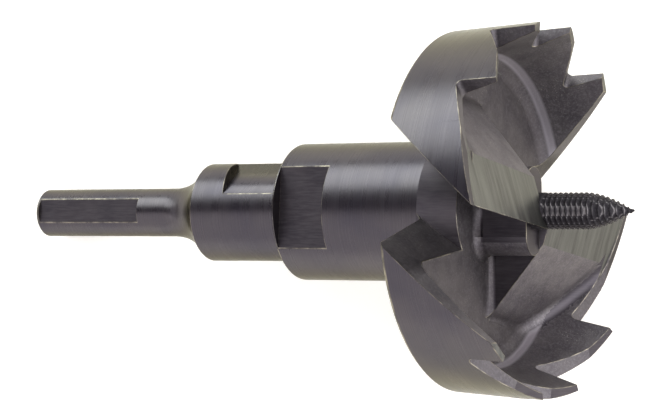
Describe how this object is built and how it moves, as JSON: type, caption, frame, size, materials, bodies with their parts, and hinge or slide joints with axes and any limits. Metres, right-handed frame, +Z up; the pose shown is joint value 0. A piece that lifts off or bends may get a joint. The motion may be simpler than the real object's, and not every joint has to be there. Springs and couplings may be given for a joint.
{
  "type": "self-feed drill bit",
  "caption": "Large self-feed drill bit with a saw-toothed two-winged head, ground cutters, a threaded feed screw and a flatted shank.",
  "frame": {"origin": "middle of the bit's footprint on the surface it lies on", "axes": "+Z up; the bit's axis lies in the XZ plane and rises towards +X, the cutting end"},
  "size_m": [0.1666, 0.092, 0.091],
  "materials": {
    "forged_head": "black oxide, machined and cast areas",
    "turned_shank": "black oxide, fine turning lines",
    "lead_screw": "grey oxide",
    "fastener": "black oxide"
  },
  "bodies": {
    "root": {"cutter_head": "forged_head", "shank": "turned_shank", "feed_screw": "lead_screw", "set_screw": "fastener"}
  },
  "joints": []
}
